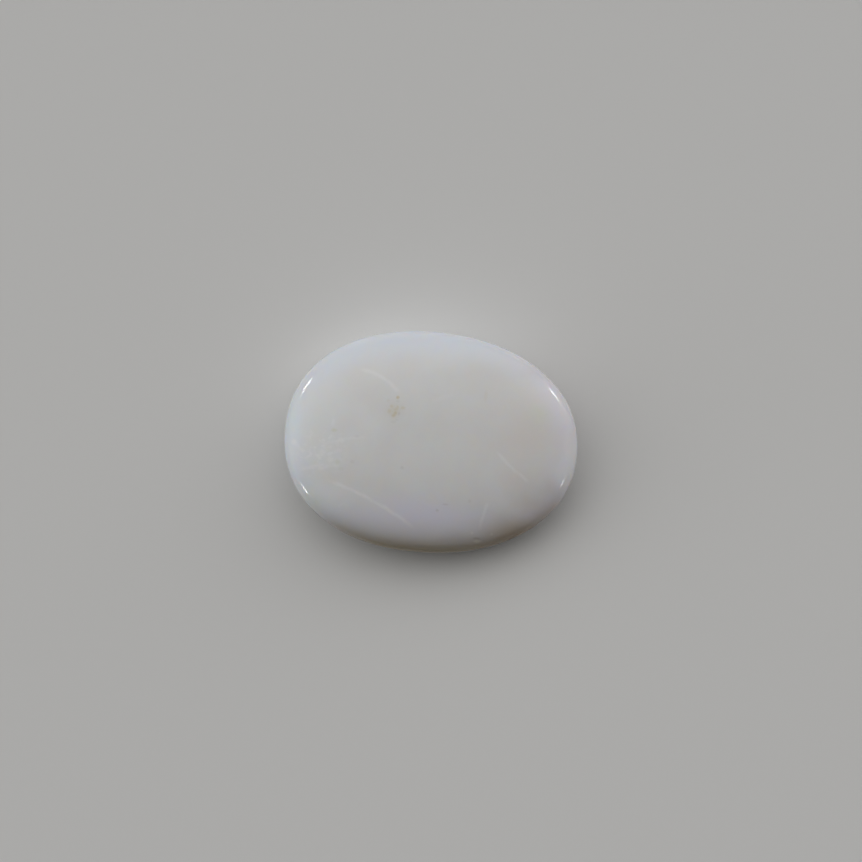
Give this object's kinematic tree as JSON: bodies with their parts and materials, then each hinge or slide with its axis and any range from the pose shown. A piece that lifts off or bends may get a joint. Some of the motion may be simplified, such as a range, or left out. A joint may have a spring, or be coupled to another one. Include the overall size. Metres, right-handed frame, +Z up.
{
  "type": "oval opal cabochon",
  "caption": "Polished milky white opal, a low-domed oval stone with a rounded girdle and a flat back to lie on or to be set by.",
  "frame": {"origin": "on the flat back, below the middle of the oval outline", "axes": "+X along the stone towards its more pointed end, +Y across it, +Z up through the dome"},
  "size_m": [0.016, 0.012, 0.004],
  "materials": {
    "polished_opal": "polished, milky and slightly translucent"
  },
  "bodies": {
    "root": {"opal_stone": "polished_opal"}
  },
  "joints": []
}
